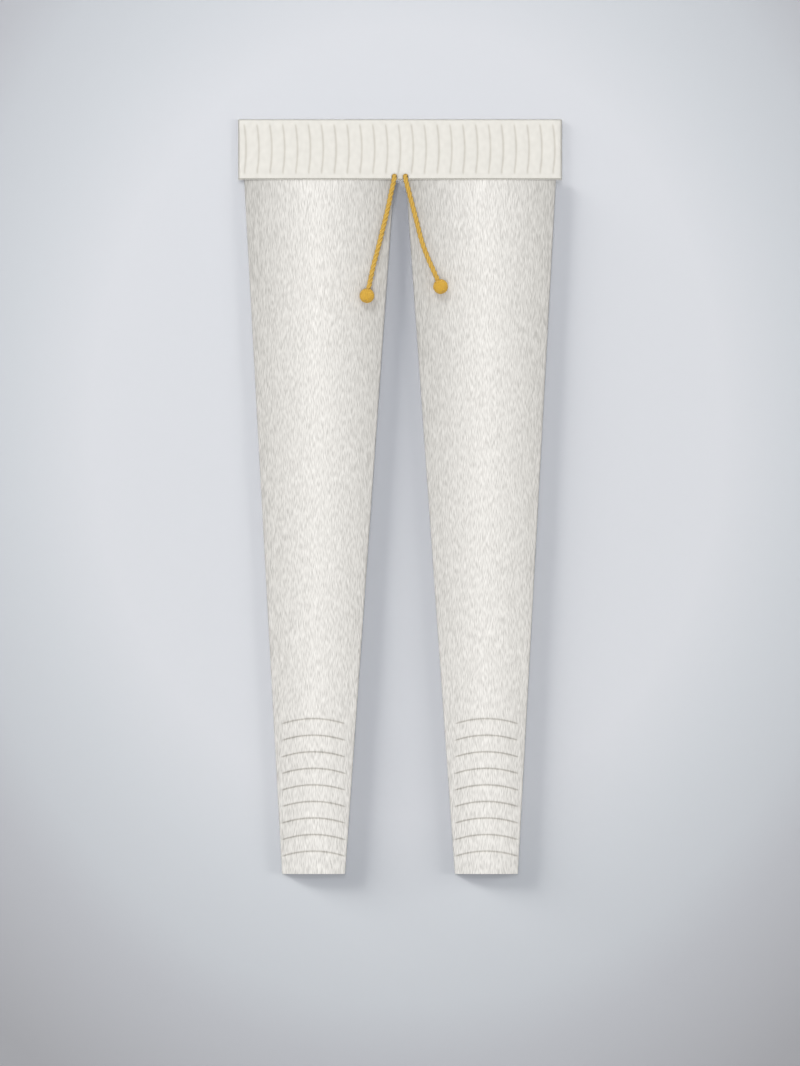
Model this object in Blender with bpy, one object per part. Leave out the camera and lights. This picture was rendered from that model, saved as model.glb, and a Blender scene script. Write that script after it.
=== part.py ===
"""Churidar pants laid flat, face up, at full size.

X runs across the pants, +Y points to the waist and +Z is up. The origin is on the table, under
the middle. Left and right are the wearer's, so the left leg is at +X. Every cut piece is a wall
of its own, and pieces that are sewn together lie SEAM apart. All sizes are in metres.
"""

import math
from collections import namedtuple

import bmesh
import bpy
from mathutils import Vector

COLLECTION = "churidar_pants"
SEAM = 0.0003

# Whole garment
LENGTH = 1.012
WAIST_Y = LENGTH / 2
HEM_Y = -LENGTH / 2

# Waistband: a double cloth, gathered along its whole width
BAND_HALF = 0.217
BAND_DEPTH = 0.081
BAND_Y = WAIST_Y - BAND_DEPTH
BAND_BACK_WALL = 0.0020
BAND_WALL = 0.0025
BAND_END_ROLL = 0.012
BAND_END_STEP = 0.0036
BAND_TOP_ROLL = 0.008
GATHERS = 25
GATHER_PITCH = 0.01724
GATHER_SHIFT = -0.0014
GATHER_BOW = 0.0042
GATHER_HOLLOW = 0.0034
GATHER_DIP = 0.0016
GATHER_GROOVE = 0.0026
GATHER_STEPS = (0.0, 0.07, 0.15, 0.85, 0.93)
MARGIN_HOLLOW = 0.0024
MARGIN_START, MARGIN_END = 0.003, 0.011
TACK_HALF = 0.006
TACK_HEIGHT = 0.012
BAND_ROWS = (0.0, 0.003, 0.007, 0.012, 0.031, 0.050, 0.069, 0.074, 0.078, 0.081)

# Legs: the edges run straight from the waist seam to the hem, measured from the middle line
LEG_Y = BAND_Y - SEAM
LEG_LENGTH = LEG_Y - HEM_Y
LEG_TOP_INNER, LEG_TOP_OUTER = 0.0080, 0.2090
LEG_HEM_INNER, LEG_HEM_OUTER = 0.0737, 0.1581
LEG_BACK_WALL = 0.0018
LEG_EDGE_WALL = 0.0016
LEG_MIDDLE_WALL = 0.0022
LEG_COLUMNS = 14
LEG_BACK_COLUMNS = (-1, -0.97, 0, 0.97, 1)
CROWN_FLATNESS = 2.6
CROWN_ROUNDNESS = 2.2
HEM_ROUND = 0.0006
HEM_ROUND_LENGTH = 0.003

# Hollow left between a leg's front and back, along its middle
Loft = namedtuple("Loft", "down hollow")
LEG_LOFTS = (
    Loft(down=0.000, hollow=0.0012),
    Loft(down=0.050, hollow=0.0022),
    Loft(down=0.300, hollow=0.0030),
    Loft(down=0.700, hollow=0.0030),
    Loft(down=0.900, hollow=0.0024),
    Loft(down=LEG_LENGTH, hollow=0.0016),
)
LEG_PLAIN_ROWS = (0.0, 0.012, 0.050, 0.120, 0.220, 0.340, 0.460, 0.570, 0.650, 0.700)

# Churis: the stacked folds at the ankle, each one hanging over the crease below it
CHURI_CREASES = 9
CHURI_FIRST = 0.7220
CHURI_PITCH = 0.0222
CHURI_MIDDLE = (LEG_HEM_INNER + LEG_HEM_OUTER) / 2
CHURI_HALF = 0.0415
CHURI_RISE = 0.0067
CHURI_MOST_DROP = 1.5
CHURI_DEPTH = 0.0010
CHURI_CREST = 0.0006
CHURI_LEAN = 1.6
CHURI_ABOVE, CHURI_BELOW = 0.0018, 0.0034
CHURI_STEPS = (0.0, 0.16, 0.45, 0.75, 0.92)
CHURI_FADE_START, CHURI_FADE_END = 0.85, 1.15
CHURI_BEND_START = 0.08
CHURI_BEND_LENGTH = 0.07
CHURI_BEND_END = 0.030

# Drawstring: the two free ends, which come out of notches in the band's lower edge
CORD_DIAMETER = 0.0068
CORD_STEP = 1.5 * CORD_DIAMETER
CORD_TIP = ((0.0, 0.35), (0.14, 0.75), (0.47, 1.0))  # distance in diameters, share of the radius
NOTCH_X = 0.0074
NOTCH_UP = 0.0033
NOTCH_RADIUS = CORD_DIAMETER / 2 + 0.0006
NOTCH_SEGMENTS = 12
BALL_DIAMETER = 0.0198
BALL_SEGMENTS, BALL_RINGS = 18, 12

Cord = namedtuple("Cord", "side ball route")
CORDS = (
    Cord(
        side="left",
        ball=(0.0543, 0.2806, 0.0167),
        route=(
            (0.0074, 0.4315, 0.0058),
            (0.0079, 0.4240, 0.0076),
            (0.0133, 0.4032, 0.0087),
            (0.0208, 0.3745, 0.0092),
            (0.0289, 0.3430, 0.0095),
            (0.0373, 0.3197, 0.0098),
            (0.0440, 0.3046, 0.0108),
            (0.0505, 0.2897, 0.0135),
        ),
    ),
    Cord(
        side="right",
        ball=(-0.0442, 0.2685, 0.0165),
        route=(
            (-0.0074, 0.4315, 0.0058),
            (-0.0081, 0.4240, 0.0076),
            (-0.0123, 0.4050, 0.0087),
            (-0.0161, 0.3867, 0.0090),
            (-0.0257, 0.3472, 0.0094),
            (-0.0352, 0.3103, 0.0098),
            (-0.0390, 0.2930, 0.0108),
            (-0.0422, 0.2781, 0.0134),
        ),
    ),
)


def smooth(x):
    """A smooth step from 0 at x = 0 to 1 at x = 1."""
    x = min(max(x, 0.0), 1.0)
    return x * x * (3 - 2 * x)


def roll(distance, width):
    """A quarter round that rises from 0 at an edge to 1 at this width from it."""
    inward = min(max(distance / width, 0.0), 1.0)
    return math.sqrt(1 - (1 - inward) ** 2)


def blend(start, end, part):
    return start + (end - start) * part


def cloth_material(name, colour, roughness):
    material = bpy.data.materials.new(name)
    material.use_nodes = True
    shader = material.node_tree.nodes["Principled BSDF"]
    shader.inputs["Base Color"].default_value = (*colour, 1.0)
    shader.inputs["Roughness"].default_value = roughness
    shader.inputs["Metallic"].default_value = 0.0
    return material


def add_object(name, data, material, collection):
    piece = bpy.data.objects.new(name, data)
    if material:
        piece.data.materials.append(material)
    collection.objects.link(piece)
    return piece


def cloth_wall(name, columns, rows, section):
    """A closed wall of cloth lofted over a grid.

    section(column, row) gives x, y and the heights of the wall's lower and upper face.
    """
    wall = bmesh.new()
    lower, upper = [], []
    for row in rows:
        points = [section(column, row) for column in columns]
        lower.append([wall.verts.new((x, y, low)) for x, y, low, _ in points])
        upper.append([wall.verts.new((x, y, high)) for x, y, _, high in points])
    last_row, last_column = len(rows) - 1, len(columns) - 1
    for j in range(last_row):
        for i in range(last_column):
            for face in (lower, upper):
                wall.faces.new((face[j][i], face[j][i + 1], face[j + 1][i + 1], face[j + 1][i]))
        for i in (0, last_column):
            wall.faces.new((lower[j][i], lower[j + 1][i], upper[j + 1][i], upper[j][i]))
    for j in (0, last_row):
        for i in range(last_column):
            wall.faces.new((lower[j][i], lower[j][i + 1], upper[j][i + 1], upper[j][i]))
    bmesh.ops.recalc_face_normals(wall, faces=wall.faces)
    mesh = bpy.data.meshes.new(name)
    wall.to_mesh(mesh)
    wall.free()
    mesh.shade_smooth()
    mesh.set_sharp_from_angle(angle=math.radians(60))
    return mesh


# Legs


def leg_edges(down):
    part = down / LEG_LENGTH
    inner = blend(LEG_TOP_INNER, LEG_HEM_INNER, part)
    outer = blend(LEG_TOP_OUTER, LEG_HEM_OUTER, part)
    return inner, outer


def leg_x(across, down):
    """Distance from the middle line, for across from -1 at the inseam to 1 at the outseam."""
    inner, outer = leg_edges(down)
    return blend(inner, outer, (across + 1) / 2)


def leg_hollow(down):
    for above, below in zip(LEG_LOFTS, LEG_LOFTS[1:]):
        if down <= below.down:
            part = (down - above.down) / (below.down - above.down)
            return blend(above.hollow, below.hollow, smooth(part))
    return LEG_LOFTS[-1].hollow


def churi_drop(across, down):
    """How far a row falls behind its middle, so that it follows the arc of the churis."""
    offset = (leg_x(across, down) - CHURI_MIDDLE) / CHURI_HALF
    starting = smooth((down - CHURI_FIRST + CHURI_BEND_START) / CHURI_BEND_LENGTH)
    ending = smooth((LEG_LENGTH - down) / CHURI_BEND_END)
    return CHURI_RISE * min(offset * offset, CHURI_MOST_DROP) * starting * ending


def churi_relief(x, down):
    """Height of the folds over the plain cloth: a leaning crest, then a crease."""
    turns = (down - CHURI_FIRST) / CHURI_PITCH
    if turns <= -1:
        return 0.0
    last = CHURI_CREASES - 1
    part = turns - math.floor(turns)
    crest = CHURI_CREST * math.sin(math.pi * part**CHURI_LEAN) if turns < last else 0.0
    to_next = (1 - part) * CHURI_PITCH if turns < last else CHURI_ABOVE
    from_last = (turns - min(math.floor(turns), last)) * CHURI_PITCH if turns >= 0 else CHURI_BELOW
    crease = max(1 - to_next / CHURI_ABOVE, 1 - from_last / CHURI_BELOW, 0.0)
    offset = abs(x - CHURI_MIDDLE) / CHURI_HALF
    fade = 1 - smooth((offset - CHURI_FADE_START) / (CHURI_FADE_END - CHURI_FADE_START))
    return (crest - CHURI_DEPTH * crease) * fade


def leg_front_section(side):
    def section(across, down):
        drop = churi_drop(across, down)
        x = leg_x(across, down + drop)
        crown = (1 - abs(across) ** CROWN_FLATNESS) ** (1 / CROWN_ROUNDNESS)
        low = LEG_BACK_WALL + SEAM + leg_hollow(down) * crown
        hem = HEM_ROUND * (1 - smooth((LEG_LENGTH - down) / HEM_ROUND_LENGTH))
        high = low + blend(LEG_EDGE_WALL, LEG_MIDDLE_WALL, crown) + churi_relief(x, down) - hem
        return side * x, LEG_Y - down - drop, low, high

    return section


def leg_back_section(side):
    def section(across, down):
        at_edge = abs(across) == 1 or down == LEG_LENGTH
        high = LEG_BACK_WALL - (HEM_ROUND if at_edge else 0.0)
        return side * leg_x(across, down), LEG_Y - down, 0.0, high

    return section


def leg_rows():
    rows = list(LEG_PLAIN_ROWS)
    for crease in range(CHURI_CREASES):
        rows += [CHURI_FIRST + (crease + step) * CHURI_PITCH for step in CHURI_STEPS]
    return rows + [LEG_LENGTH - HEM_ROUND_LENGTH, LEG_LENGTH]


def build_leg(name, side, material, collection):
    half_turn = math.pi / 2
    columns = [
        math.sin(half_turn * (2 * i / LEG_COLUMNS - 1)) for i in range(LEG_COLUMNS + 1)
    ]
    front = cloth_wall(f"{name}_leg_front", columns, leg_rows(), leg_front_section(side))
    add_object(front.name, front, material, collection)
    back_rows = (0.0, LEG_LENGTH / 2, LEG_LENGTH - HEM_ROUND_LENGTH, LEG_LENGTH)
    back = cloth_wall(f"{name}_leg_back", LEG_BACK_COLUMNS, back_rows, leg_back_section(side))
    add_object(back.name, back, material, collection)


# Waistband


def gather_x(number):
    """Place of a crease between two gathers, counted from the middle one."""
    return GATHER_SHIFT + number * GATHER_PITCH


def band_columns():
    half = GATHERS // 2
    columns = [-BAND_HALF, -BAND_HALF + BAND_END_STEP]
    for number in range(-half, half):
        columns += [gather_x(number + step) for step in GATHER_STEPS]
    return columns + [gather_x(half), BAND_HALF - BAND_END_STEP, BAND_HALF]


def band_front_section(x, up):
    """The gathered wall: narrow bowed creases between flat gathers, and plain margins."""
    turn = (x - GATHER_SHIFT) / GATHER_PITCH
    aside = abs(turn - round(turn)) * GATHER_PITCH
    crease = GATHER_DIP * (1 - smooth(aside / GATHER_GROOVE))
    edge = min(up, BAND_DEPTH - up)
    gathered = smooth((edge - MARGIN_START) / (MARGIN_END - MARGIN_START))
    hollow = blend(MARGIN_HOLLOW, GATHER_HOLLOW - crease, gathered)
    end = roll(BAND_HALF - abs(x), BAND_END_ROLL)
    top = roll(BAND_DEPTH - up, BAND_TOP_ROLL)
    along = 2 * up / BAND_DEPTH - 1
    x += GATHER_BOW * (0.5 - along * along) * end
    tack = math.exp(-((x / TACK_HALF) ** 2)) * (1 - smooth(up / TACK_HEIGHT))
    low = BAND_BACK_WALL + SEAM + hollow * end * top * (1 - tack)
    return x, BAND_Y + up, low, low + BAND_WALL


def band_back_section(x, up):
    at_edge = abs(x) == BAND_HALF or up == BAND_DEPTH
    return x, BAND_Y + up, 0.0, BAND_BACK_WALL - (HEM_ROUND if at_edge else 0.0)


def notch_cutter(name, side, collection):
    """A prism with a round top that opens the band's lower edge."""
    centre_y = BAND_Y + NOTCH_UP
    outline = []
    for i in range(NOTCH_SEGMENTS + 1):
        angle = math.pi * i / NOTCH_SEGMENTS
        x = side * NOTCH_X + NOTCH_RADIUS * math.cos(angle)
        outline.append((x, centre_y + NOTCH_RADIUS * math.sin(angle)))
    for step in (-1, 1):
        outline.append((side * NOTCH_X + step * NOTCH_RADIUS, BAND_Y - NOTCH_RADIUS))
    prism = bmesh.new()
    base = prism.faces.new([prism.verts.new((x, y, BAND_BACK_WALL / 2 + SEAM)) for x, y in outline])
    grown = bmesh.ops.extrude_face_region(prism, geom=[base])["geom"]
    rise = Vector((0, 0, BAND_WALL + 2 * BALL_DIAMETER))
    bmesh.ops.translate(
        prism, verts=[part for part in grown if isinstance(part, bmesh.types.BMVert)], vec=rise
    )
    bmesh.ops.recalc_face_normals(prism, faces=prism.faces)
    mesh = bpy.data.meshes.new(name)
    prism.to_mesh(mesh)
    prism.free()
    cutter = add_object(name, mesh, None, collection)
    cutter.hide_render = True
    cutter.display_type = "WIRE"
    return cutter


def build_waistband(material, collection, cutters):
    mesh = cloth_wall("waistband_front", band_columns(), BAND_ROWS, band_front_section)
    front = add_object("waistband_front", mesh, material, collection)
    for name, side in (("left", 1), ("right", -1)):
        notch = front.modifiers.new(f"{name}_notch", "BOOLEAN")
        notch.object = notch_cutter(f"{name}_notch_cutter", side, cutters)
        notch.operation = "DIFFERENCE"
        notch.solver = "EXACT"
    inset = BAND_HALF - HEM_ROUND_LENGTH
    back_rows = (0.0, BAND_DEPTH - HEM_ROUND_LENGTH, BAND_DEPTH)
    back = cloth_wall(
        "waistband_back", (-BAND_HALF, -inset, inset, BAND_HALF), back_rows, band_back_section
    )
    add_object("waistband_back", back, material, collection)


# Drawstring


def smooth_route(route, step):
    """Points of a smooth curve through the route, about one step apart."""
    points = [Vector(point) for point in route]
    points = [2 * points[0] - points[1], *points, 2 * points[-1] - points[-2]]
    found = []
    for before, start, end, after in zip(points, points[1:], points[2:], points[3:]):
        pieces = max(1, round((end - start).length / step))
        leave, arrive = (end - before) / 2, (after - start) / 2
        for i in range(pieces):
            t = i / pieces
            found.append(
                (2 * t**3 - 3 * t**2 + 1) * start
                + (t**3 - 2 * t**2 + t) * leave
                + (3 * t**2 - 2 * t**3) * end
                + (t**3 - t**2) * arrive
            )
    return found + [points[-2]]


def build_drawstring(cord, cord_material, ball_material, collection):
    centres = smooth_route(cord.route, CORD_STEP)
    start = (centres[1] - centres[0]).normalized() * CORD_DIAMETER
    tip = [(centres[0] + start * along, share) for along, share in CORD_TIP]
    stations = tip + [(centre, 1.0) for centre in centres[1:]]
    curve = bpy.data.curves.new(f"{cord.side}_drawstring", "CURVE")
    curve.dimensions = "3D"
    spline = curve.splines.new("POLY")
    spline.points.add(len(stations) - 1)
    for point, (centre, share) in zip(spline.points, stations):
        point.co = (*centre, 1.0)
        point.radius = share
    curve.bevel_depth = CORD_DIAMETER / 2
    curve.bevel_resolution = 3
    curve.use_fill_caps = True
    add_object(curve.name, curve, cord_material, collection)

    ball = bmesh.new()
    bmesh.ops.create_uvsphere(
        ball, u_segments=BALL_SEGMENTS, v_segments=BALL_RINGS, radius=BALL_DIAMETER / 2
    )
    mesh = bpy.data.meshes.new(f"{cord.side}_drawstring_ball")
    ball.to_mesh(mesh)
    ball.free()
    mesh.shade_smooth()
    piece = add_object(mesh.name, mesh, ball_material, collection)
    piece.location = cord.ball
    towards_cord = centres[-1] - Vector(cord.ball)
    piece.rotation_euler = towards_cord.to_track_quat("Z", "Y").to_euler()


def main():
    for old in list(bpy.data.objects):
        bpy.data.objects.remove(old)
    pants = bpy.data.collections.new(COLLECTION)
    cutters = bpy.data.collections.new(f"{COLLECTION}_cutters")
    for collection in (pants, cutters):
        bpy.context.scene.collection.children.link(collection)
    leg_cloth = cloth_material("slub_cotton_silk", (0.83, 0.80, 0.75), 0.80)
    band_cloth = cloth_material("plain_cotton_silk", (0.85, 0.82, 0.76), 0.75)
    cord_thread = cloth_material("mustard_cord", (0.60, 0.38, 0.07), 0.70)
    ball_thread = cloth_material("mustard_thread", (0.70, 0.41, 0.05), 0.60)
    build_waistband(band_cloth, pants, cutters)
    for name, side in (("left", 1), ("right", -1)):
        build_leg(name, side, leg_cloth, pants)
    for cord in CORDS:
        build_drawstring(cord, cord_thread, ball_thread, pants)


main()
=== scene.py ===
"""Churidar pants in cream slub cotton-silk, laid flat and seen from straight above.

X runs across the pants, +Y points to the waist and +Z is up, with the surface at z = 0. Left and
right are the wearer's, so the left leg is at +X. All sizes are in metres.
"""

import math
from collections import namedtuple

import bpy
import numpy as np
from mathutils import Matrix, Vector


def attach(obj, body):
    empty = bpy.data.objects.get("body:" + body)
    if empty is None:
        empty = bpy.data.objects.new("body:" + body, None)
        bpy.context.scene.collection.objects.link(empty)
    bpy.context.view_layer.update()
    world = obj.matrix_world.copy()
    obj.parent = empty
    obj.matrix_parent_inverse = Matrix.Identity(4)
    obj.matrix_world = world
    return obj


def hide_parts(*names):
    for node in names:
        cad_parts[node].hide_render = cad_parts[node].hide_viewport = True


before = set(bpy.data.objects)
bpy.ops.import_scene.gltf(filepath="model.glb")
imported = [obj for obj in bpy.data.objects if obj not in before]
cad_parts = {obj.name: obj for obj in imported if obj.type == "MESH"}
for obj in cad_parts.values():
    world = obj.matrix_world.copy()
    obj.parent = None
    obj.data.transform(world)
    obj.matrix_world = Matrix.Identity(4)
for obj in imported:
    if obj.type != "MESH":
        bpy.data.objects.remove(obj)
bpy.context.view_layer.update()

# Whole garment. THINNEST is the wall left where an edge rolls down to nothing, and EDGE_DROP is how
# far the fronts' lower edges drop. Edges that turn by more than the last two angles look sharp.
LENGTH = 1.012
WAIST_Y = LENGTH / 2
HEM_Y = -LENGTH / 2
THINNEST = 0.0002
EDGE_DROP = 0.0006
SHARP_IN_CLOTH, SHARP_IN_THREAD = math.radians(50), math.radians(60)

# Camera: straight above. The view is FRAME_ROWS pixels high, each METRES_PER_PIXEL wide at the cloth,
# and the waist's edge lies on WAIST_ROW.
FRAME_ROWS = 1066
METRES_PER_PIXEL = 0.00134
WAIST_ROW = 119
CAMERA_LENS = 100.0
CAMERA_REACH = 50.0
SENSOR = 36.0
CLOTH_HEIGHT = 0.007

# Floor: the middle of the pool of light painted on it, and how much narrower than high its rings of tone
# are
FLOOR_HALF = 16.0
FLOOR_MIDDLE_X, FLOOR_MIDDLE_Y = 0.01, 0.10
FLOOR_NARROWNESS = 1.25

# Light: towards is where each lamp stands, from the middle of the view. The low suns light the floor
# alone, and only what shaded_by names shades it from them.
WORLD_COLOUR = (0.98, 0.99, 1.0, 1.0)
WORLD_STRENGTH = 0.60
Softbox = namedtuple("Softbox", "name towards power width")
SOFTBOXES = (
    Softbox("overhead_softbox", towards=(0.0, -0.5, 3.4), power=54.0, width=1.8),
    Softbox("side_softbox", towards=(-0.8, 2.5, 2.6), power=38.0, width=1.2),
)
LOW_SUN_COLOUR = (1.0, 0.975, 0.89)
LOW_SUN_ANGLE = math.radians(11)
LowSun = namedtuple("LowSun", "name towards power shaded_by")
LOW_SUNS = (
    LowSun("floor_light", towards=(-1.0, 0.60, 0.085), power=18.0, shaded_by="legs"),
    LowSun("floor_light_over_band", towards=(-1.0, 0.60, 0.100), power=15.5, shaded_by="legs, band back"),
    LowSun("floor_fill", towards=(1.0, 0.00, 0.190), power=5.5, shaded_by="legs, band back"),
    LowSun("floor_light_over_right_leg", towards=(-1.0, 0.30, 0.060), power=6.4, shaded_by="right leg"),
    LowSun("floor_fill_over_left_leg", towards=(1.0, 0.30, 0.060), power=11.8, shaded_by="left leg"),
)

# Waistband.
# The gathers' dips differ in depth, by UNEVENNESS either way. TACK is the low place between the two
# mouths of the casing, where it is tacked down.
BAND_HALF = 0.217
BAND_DEPTH = 0.081
BAND_Y = WAIST_Y - BAND_DEPTH
BAND_BACK_WALL = 0.0019
BAND_WALL = 0.0012
BAND_FLOOR = 0.0023
BAND_RISE = 0.0025
BAND_SQUEEZE = 0.020
GATHERS = 25
GATHER_PITCH = 0.01724
GATHER_SHIFT = -0.0014
GATHER_BOW = 0.0042
BOW_FROM_END, BOW_FROM_MOUTH = 0.010, 0.012
GATHER_FROM_END = 0.002
GATHER_HOLLOW = 0.0031
GATHER_DIP = 0.0011
UNEVENNESS, UNEVEN_TURN, UNEVEN_START = 0.12, 2.4, 0.7
GATHER_SWELL = 0.0003
GATHER_GROOVE = 0.0016
GATHER_SHARPNESS = 1.5
GATHER_LINE = 0.0012
MARGIN_HOLLOW = 0.0025
MARGIN_START, MARGIN_END = 0.0050, 0.0100
EDGE_ROLL, LOWER_EDGE_ROLL = 0.0032, 0.0012
END_ROLL = 0.0080
TACK_HALF, TACK_HEIGHT, TACK_DIP = 0.0050, 0.010, 0.0012
BAND_UNDER_ROLL = 0.002
BAND_UNDER_GROOVE = 0.0007
# How much shade is painted into each gather's crease, on the band's front and on its underside
BAND_CREASE_SHADE, BAND_UNDER_CREASE_SHADE = 0.60, 0.4
# Where the band's grid has its columns, as shares of a gather, and its rows, in metres: close
# together up to CLOSE_ROWS from each edge, and from WIDE_ROWS further apart
GATHER_STEPS = (0.0, 0.015, 0.03, 0.05, 0.075, 0.105, 0.14, 0.19, 0.27, 0.38, 0.50)
FIRST_ROW, CLOSE_ROWS, WIDE_ROWS = 0.0014, 0.012, 0.015
NOTCH_COLUMNS = 15

# Legs.
SEAM_GAP = 0.0003
LEG_Y = BAND_Y - SEAM_GAP
LEG_LENGTH = LEG_Y - HEM_Y
LEG_TOP_INNER, LEG_TOP_OUTER = 0.0080, 0.2090
LEG_HEM_INNER, LEG_HEM_OUTER = 0.0737, 0.1581
LEG_COLUMNS, PLAIN_LEG_ROWS = 73, 90
LEG_TUCK = 0.004
LEG_WALL = 0.0012
LEG_BACK_WALL = 0.0017
LEG_FLOOR = 0.0021
EDGE_RISE, MIDDLE_RISE = 0.0016, 0.0022
CROWN_FLATNESS, CROWN_ROUNDNESS = 2.6, 2.2
SEAM_ROLL = 0.0014
SEAM_HEIGHT = 0.0021
HEM_ROLL = 0.0008
LEG_UNDER_GROOVE = 0.0006

# How much room there is under the middle of the leg's front, at some places down the leg
Loft = namedtuple("Loft", "down hollow")
LEG_LOFTS = (
    Loft(down=0.000, hollow=0.0012),
    Loft(down=0.050, hollow=0.0022),
    Loft(down=0.300, hollow=0.0030),
    Loft(down=0.700, hollow=0.0030),
    Loft(down=0.900, hollow=0.0024),
    Loft(down=LEG_LENGTH, hollow=0.0016),
)

# Soft troughs that the cloth keeps from being folded: where the middle of each one is, its turn from
# the leg's direction in degrees, how far it reaches along and aside, and its depth
Trough = namedtuple("Trough", "across down turn length width depth")
LEG_TROUGHS = (
    Trough(across=-0.45, down=0.070, turn=-14, length=0.055, width=0.010, depth=0.0005),
    Trough(across=0.35, down=0.045, turn=9, length=0.040, width=0.009, depth=0.0004),
    Trough(across=0.20, down=0.330, turn=24, length=0.060, width=0.014, depth=0.0004),
    Trough(across=-0.30, down=0.480, turn=-31, length=0.050, width=0.012, depth=0.0004),
    Trough(across=0.40, down=0.600, turn=38, length=0.045, width=0.012, depth=0.0004),
    Trough(across=-0.35, down=0.668, turn=-66, length=0.030, width=0.007, depth=0.0004),
    Trough(across=0.45, down=0.690, turn=70, length=0.028, width=0.006, depth=0.0004),
)

# Churis: the creases between the stacked folds at the ankle, counted down the leg. reach_in and
# reach_out are where each one ends towards the inseam and the outseam, as shares of CHURI_HALF.
Churi = namedtuple("Churi", "depth reach_in reach_out")
CHURIS = (
    Churi(depth=0.0011, reach_in=0.97, reach_out=0.99),
    Churi(depth=0.0013, reach_in=1.00, reach_out=0.98),
    Churi(depth=0.0014, reach_in=0.99, reach_out=1.02),
    Churi(depth=0.0014, reach_in=1.02, reach_out=1.00),
    Churi(depth=0.0015, reach_in=1.00, reach_out=1.01),
    Churi(depth=0.0014, reach_in=1.01, reach_out=0.99),
    Churi(depth=0.0015, reach_in=0.99, reach_out=1.01),
    Churi(depth=0.0014, reach_in=1.01, reach_out=1.00),
    Churi(depth=0.0013, reach_in=1.00, reach_out=1.00),
)
# CHURI_RISE is how far a crease bows, CHURI_CREST how high a fold swells at its lower edge, and
# CHURI_ABOVE and CHURI_BELOW are how far its groove reaches up and down.
CHURI_FIRST = 0.7220
CHURI_PITCH = 0.0222
CHURI_MIDDLE = (LEG_HEM_INNER + LEG_HEM_OUTER) / 2
CHURI_HALF = 0.0415
CHURI_RISE = 0.0067
CHURI_MOST_DROP = 1.5
CHURI_CREST = 0.0010
CHURI_ABOVE, CHURI_BELOW = 0.0014, 0.0034
CHURI_LINE = 0.0014
# How much shade is painted into each churi's crease, on the leg's front and on its underside
CHURI_CREASE_SHADE, CHURI_UNDER_CREASE_SHADE = 0.55, 0.6
CHURI_FADE = 0.12
CHURI_SWELL = 0.7
CHURI_BEND_START, CHURI_BEND_LENGTH, CHURI_BEND_END = 0.08, 0.07, 0.030
# Where the leg's grid has its rows: in a fold and just past its crease, as shares of CHURI_PITCH, and
# below the last crease, in metres
ROWS_IN_FOLD = (0.10, 0.25, 0.42, 0.58, 0.72, 0.80, 0.86, 0.90, 0.925, 0.945, 0.960, 0.972, 0.984, 0.993)
ROWS_PAST_CREASE = (1.0, 1.012, 1.028, 1.050, 1.075)
ROWS_BELOW_LAST = (0.0025, 0.0035, 0.006, 0.010, 0.015, 0.020, 0.025, 0.028)

# Mouths of the casing: an arched notch in the band's lower edge over each cord, and the cloth that
# the cord lifts above it
NOTCH_X = 0.0074
NOTCH_UP = 0.0033
NOTCH_RADIUS = 0.0040
NOTCH_STEP = 0.0001
MOUTH_LIFT = 0.0024
MOUTH_WIDTH, MOUTH_UP, MOUTH_LENGTH, MOUTH_STEEPNESS = 0.0060, 0.0085, 0.012, 3.0

# Drawstring. STRAND_SHARE is a strand's thickness as a share of the cord's, STRAND_PITCH is the length
# of one twist, and BALL_SEAT is how far each cord runs on into its ball, as a share of the way to its
# middle. A ball's thread lies in WINDINGS ridges of WINDING_STEPS points each.
CORD_DIAMETER = 0.0068
CORD_STEP = 0.0011
STRANDS = 3
STRAND_SHARE = 0.50
STRAND_PITCH = 0.021
STRAND_SIDES = 10
BALL_DIAMETER = 0.0198
BALL_SEAT = 0.22
BALL_RINGS = 56
BALL_DIMPLE, BALL_DIMPLE_SPREAD = 0.16, 0.30
WINDINGS, WINDING_STEPS = 46, 6
WINDING_TWIST = 9.0
WINDING_GROOVE = 0.00035

# Each free end of the drawstring: where it starts, hidden in the casing, the points that it passes
# from the casing's mouth on, and the middle of its ball
Cord = namedtuple("Cord", "side ball hidden route")
CORDS = (
    Cord(
        side="left",
        ball=(0.0543, 0.2806, 0.0167),
        hidden=(0.0070, 0.4420, 0.0053),
        route=(
            (0.0074, 0.4315, 0.0058),
            (0.0079, 0.4240, 0.0076),
            (0.0133, 0.4032, 0.0087),
            (0.0208, 0.3745, 0.0092),
            (0.0289, 0.3430, 0.0095),
            (0.0373, 0.3197, 0.0098),
            (0.0440, 0.3046, 0.0108),
            (0.0505, 0.2897, 0.0135),
        ),
    ),
    Cord(
        side="right",
        ball=(-0.0442, 0.2685, 0.0165),
        hidden=(-0.0070, 0.4420, 0.0053),
        route=(
            (-0.0074, 0.4315, 0.0058),
            (-0.0081, 0.4240, 0.0076),
            (-0.0123, 0.4050, 0.0087),
            (-0.0161, 0.3867, 0.0090),
            (-0.0257, 0.3472, 0.0094),
            (-0.0352, 0.3103, 0.0098),
            (-0.0390, 0.2930, 0.0108),
            (-0.0422, 0.2781, 0.0134),
        ),
    ),
)

# Sewing: how far apart its stitches are, their length, width and height, and their slant in degrees
Stitch = namedtuple("Stitch", "spacing size slant")
OVERCASTING = Stitch(spacing=0.00105, size=(0.0009, 0.0022, 0.0006), slant=20)
MOUTH_STITCH = Stitch(spacing=0.0008, size=(0.0006, 0.0018, 0.0005), slant=0)
BLIND_STITCH = Stitch(spacing=0.0040, size=(0.0011, 0.0006, 0.0003), slant=35)
STITCH_LIFT = 0.0001
EDGE_INSET = 0.0010
CLEAR_OF_MOUTH, CLEAR_OF_TACK = 0.0012, 0.0006
MOUTH_INSET, MOUTH_EDGE = 0.0007, 0.0008
MOUTH_ARC = (0.05, 0.95)
HEM_INSET, HEM_REACH = 0.007, 0.95
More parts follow.
